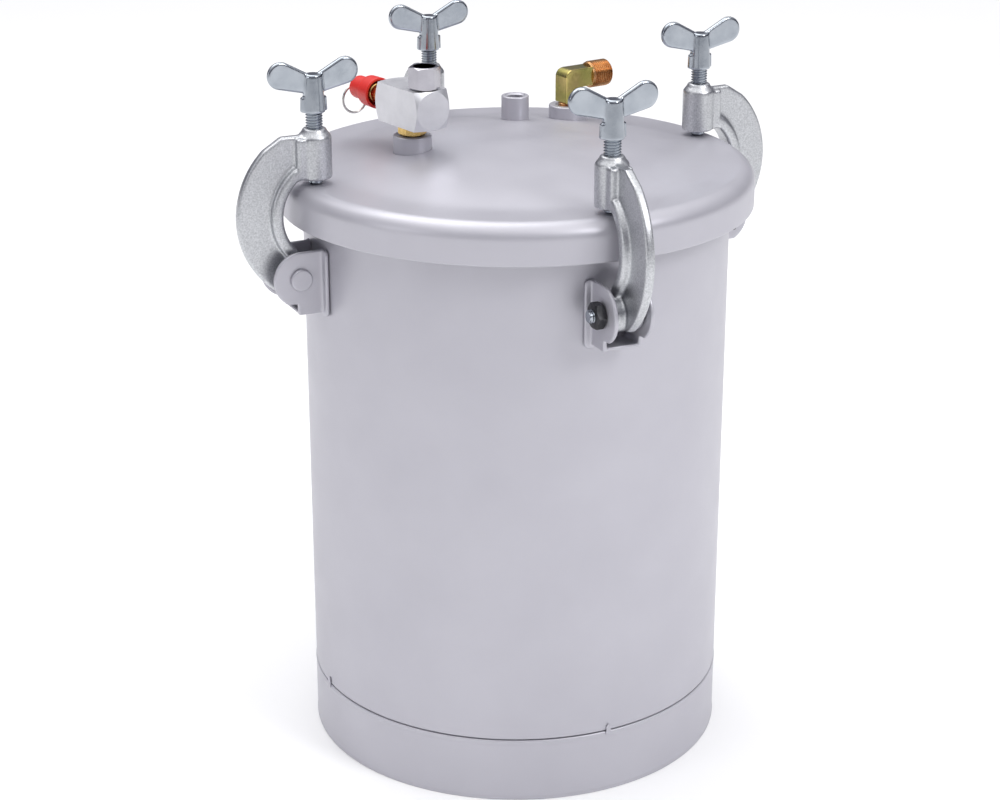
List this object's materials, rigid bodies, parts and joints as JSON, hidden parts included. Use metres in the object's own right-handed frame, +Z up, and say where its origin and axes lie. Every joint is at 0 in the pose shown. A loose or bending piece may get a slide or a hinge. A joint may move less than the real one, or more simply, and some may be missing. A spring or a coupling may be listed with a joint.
{
  "type": "resin pressure pot",
  "caption": "Upright steel pressure pot with a domed lid held by swinging C clamps with wing screws, a ring-pull relief valve, an air inlet, a spare port and an outlet elbow.",
  "frame": {"origin": "centre of the base skirt's bottom edge, on the floor", "axes": "+Z up along the tank's axis; clamps sit near +X (right), +Y (rear), -X (left) and -Y (front), the right one 2.5 degrees and the front one 1.8 degrees off; the relief valve points towards +Y on the -X side"},
  "size_m": [0.3359, 0.3359, 0.4125],
  "materials": {
    "silver_paint": "satin silver paint with a faint lilac tint",
    "cast_zinc": "grainy bare zinc casting",
    "bright_zinc": "smooth zinc plating with a cool tint",
    "black_steel": "black oxide",
    "aluminium": "lightly brushed bare aluminium",
    "chrome": "bright chrome plate",
    "brass": "machined brass",
    "yellow_zinc": "yellow passivated forging with a coppery thread",
    "red_plastic": "satin red moulding",
    "gasket_rubber": "matt black rubber",
    "steel_wire": "drawn steel wire"
  },
  "bodies": {
    "tank": {"tank_shell": "silver_paint", "tank_bottom": "silver_paint", "base_skirt": "silver_paint", "right_bracket": "silver_paint", "right_pin": "silver_paint", "right_nut": "black_steel", "rear_bracket": "silver_paint", "rear_pin": "silver_paint", "rear_nut": "black_steel", "left_bracket": "silver_paint", "left_pin": "silver_paint", "left_nut": "black_steel", "front_bracket": "silver_paint", "front_pin": "silver_paint", "front_nut": "black_steel"},
    "lid": {"lid_shell": "silver_paint", "lid_gasket": "gasket_rubber", "inlet_boss": "silver_paint", "spare_boss": "silver_paint", "outlet_boss": "silver_paint", "inlet_nipple": "brass", "manifold_block": "aluminium", "inlet_nut": "chrome", "inlet_insert": "brass", "relief_body": "brass", "relief_spring": "steel_wire", "outlet_elbow": "yellow_zinc"},
    "front_clamp": {"front_arm": "cast_zinc"},
    "front_tip": {"front_thrust_tip": "bright_zinc"},
    "front_screw": {"front_spindle": "bright_zinc", "front_wing_handle": "bright_zinc"},
    "right_clamp": {"right_arm": "cast_zinc"},
    "right_tip": {"right_thrust_tip": "bright_zinc"},
    "right_screw": {"right_spindle": "bright_zinc", "right_wing_handle": "bright_zinc"},
    "rear_clamp": {"rear_arm": "cast_zinc"},
    "rear_tip": {"rear_thrust_tip": "bright_zinc"},
    "rear_screw": {"rear_spindle": "bright_zinc", "rear_wing_handle": "bright_zinc"},
    "left_clamp": {"left_arm": "cast_zinc"},
    "left_tip": {"left_thrust_tip": "bright_zinc"},
    "left_screw": {"left_spindle": "bright_zinc", "left_wing_handle": "bright_zinc"},
    "relief_pull": {"relief_stem": "steel_wire", "relief_cap": "red_plastic"},
    "pull_ring": {"pull_ring": "steel_wire"}
  },
  "joints": [
    {"name": "front_swing", "type": "hinge", "parent": "tank", "child": "front_clamp", "pos_m": [-0.00427, -0.13593, 0.294], "axis": [0.9995, -0.0314, 0], "range_deg": [0, 68]},
    {"name": "front_screw_feed", "type": "slide", "parent": "front_clamp", "child": "front_tip", "axis": [0, 0, 1], "range_m": [0, 0.009]},
    {"name": "front_screw_turn", "type": "hinge", "parent": "front_tip", "child": "front_screw", "pos_m": [-0.00382, -0.12144, 0.36], "axis": [0, 0, 1], "range_deg": [0, 2162]},
    {"name": "right_swing", "type": "hinge", "parent": "tank", "child": "right_clamp", "pos_m": [0.13587, 0.00593, 0.294], "axis": [-0.0436, 0.999, 0], "range_deg": [0, 68]},
    {"name": "right_screw_feed", "type": "slide", "parent": "right_clamp", "child": "right_tip", "axis": [0, 0, 1], "range_m": [0, 0.009]},
    {"name": "right_screw_turn", "type": "hinge", "parent": "right_tip", "child": "right_screw", "pos_m": [0.12138, 0.0053, 0.36], "axis": [0, 0, 1], "range_deg": [0, 2162]},
    {"name": "rear_swing", "type": "hinge", "parent": "tank", "child": "rear_clamp", "pos_m": [0, 0.136, 0.294], "axis": [-1, 0, 0], "range_deg": [0, 68]},
    {"name": "rear_screw_feed", "type": "slide", "parent": "rear_clamp", "child": "rear_tip", "axis": [0, 0, 1], "range_m": [0, 0.009]},
    {"name": "rear_screw_turn", "type": "hinge", "parent": "rear_tip", "child": "rear_screw", "pos_m": [0, 0.1215, 0.36], "axis": [0, 0, 1], "range_deg": [0, 2162]},
    {"name": "left_swing", "type": "hinge", "parent": "tank", "child": "left_clamp", "pos_m": [-0.136, 0, 0.294], "axis": [0, -1, 0], "range_deg": [0, 68]},
    {"name": "left_screw_feed", "type": "slide", "parent": "left_clamp", "child": "left_tip", "axis": [0, 0, 1], "range_m": [0, 0.009]},
    {"name": "left_screw_turn", "type": "hinge", "parent": "left_tip", "child": "left_screw", "pos_m": [-0.1215, 0, 0.36], "axis": [0, 0, 1], "range_deg": [0, 2162]},
    {"name": "lid_lift", "type": "slide", "parent": "tank", "child": "lid", "axis": [0, 0, 1], "range_m": [0, 0.0167]},
    {"name": "relief_pull", "type": "slide", "parent": "lid", "child": "relief_pull", "axis": [-0.1822, 0.9833, 0], "range_m": [0, 0.0025], "stiffness_N_per_m": 800, "springref_m": -0.005, "deforming": ["relief_spring"]},
    {"name": "ring_swing", "type": "hinge", "parent": "relief_pull", "child": "pull_ring", "pos_m": [-0.06734, 0.0755, 0.37769], "axis": [0.9833, 0.1822, 0], "range_deg": [-30, 80]}
  ],
  "couplings": [
    {"joint": "front_screw_turn", "follows": "front_screw_feed", "rad_per_m": 4188.8},
    {"joint": "right_swing", "follows": "front_swing", "ratio": 1},
    {"joint": "right_screw_turn", "follows": "right_screw_feed", "rad_per_m": 4188.8},
    {"joint": "rear_swing", "follows": "front_swing", "ratio": 1},
    {"joint": "rear_screw_turn", "follows": "rear_screw_feed", "rad_per_m": 4188.8},
    {"joint": "left_swing", "follows": "front_swing", "ratio": 1},
    {"joint": "left_screw_turn", "follows": "left_screw_feed", "rad_per_m": 4188.8},
    {"joint": "lid_lift", "follows": "front_swing", "m_per_rad": 0.014}
  ]
}
